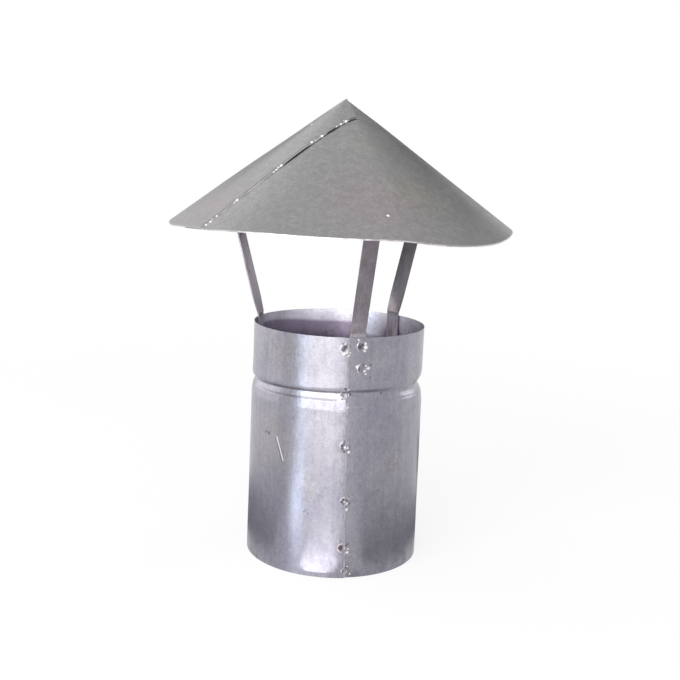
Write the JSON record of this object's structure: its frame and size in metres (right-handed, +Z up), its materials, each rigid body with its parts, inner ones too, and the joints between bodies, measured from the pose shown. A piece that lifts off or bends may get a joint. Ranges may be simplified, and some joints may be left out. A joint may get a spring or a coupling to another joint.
{
  "type": "chimney cap",
  "caption": "Rain cap for a round flue: lapped sheet pipe with a stop bead, and a conical hat carried on bent flat straps.",
  "frame": {"origin": "centre of the pipe's lower rim, on the pipe's axis", "axes": "+Z up along the pipe's axis towards the hat's tip, -Y to the front, where the lap of the pipe is"},
  "size_m": [0.2425, 0.242, 0.3217],
  "materials": {
    "pipe_sheet": "bright zinc-coated sheet, satin, with faint rolling marks and stains",
    "hat_sheet": "dull zinc-coated sheet, matt grey",
    "strap_steel": "bare flat bar, dull grey-brown"
  },
  "bodies": {
    "root": {"pipe": "pipe_sheet", "hat": "hat_sheet", "strap_front": "strap_steel", "strap_right": "strap_steel", "strap_left": "strap_steel"}
  },
  "joints": []
}
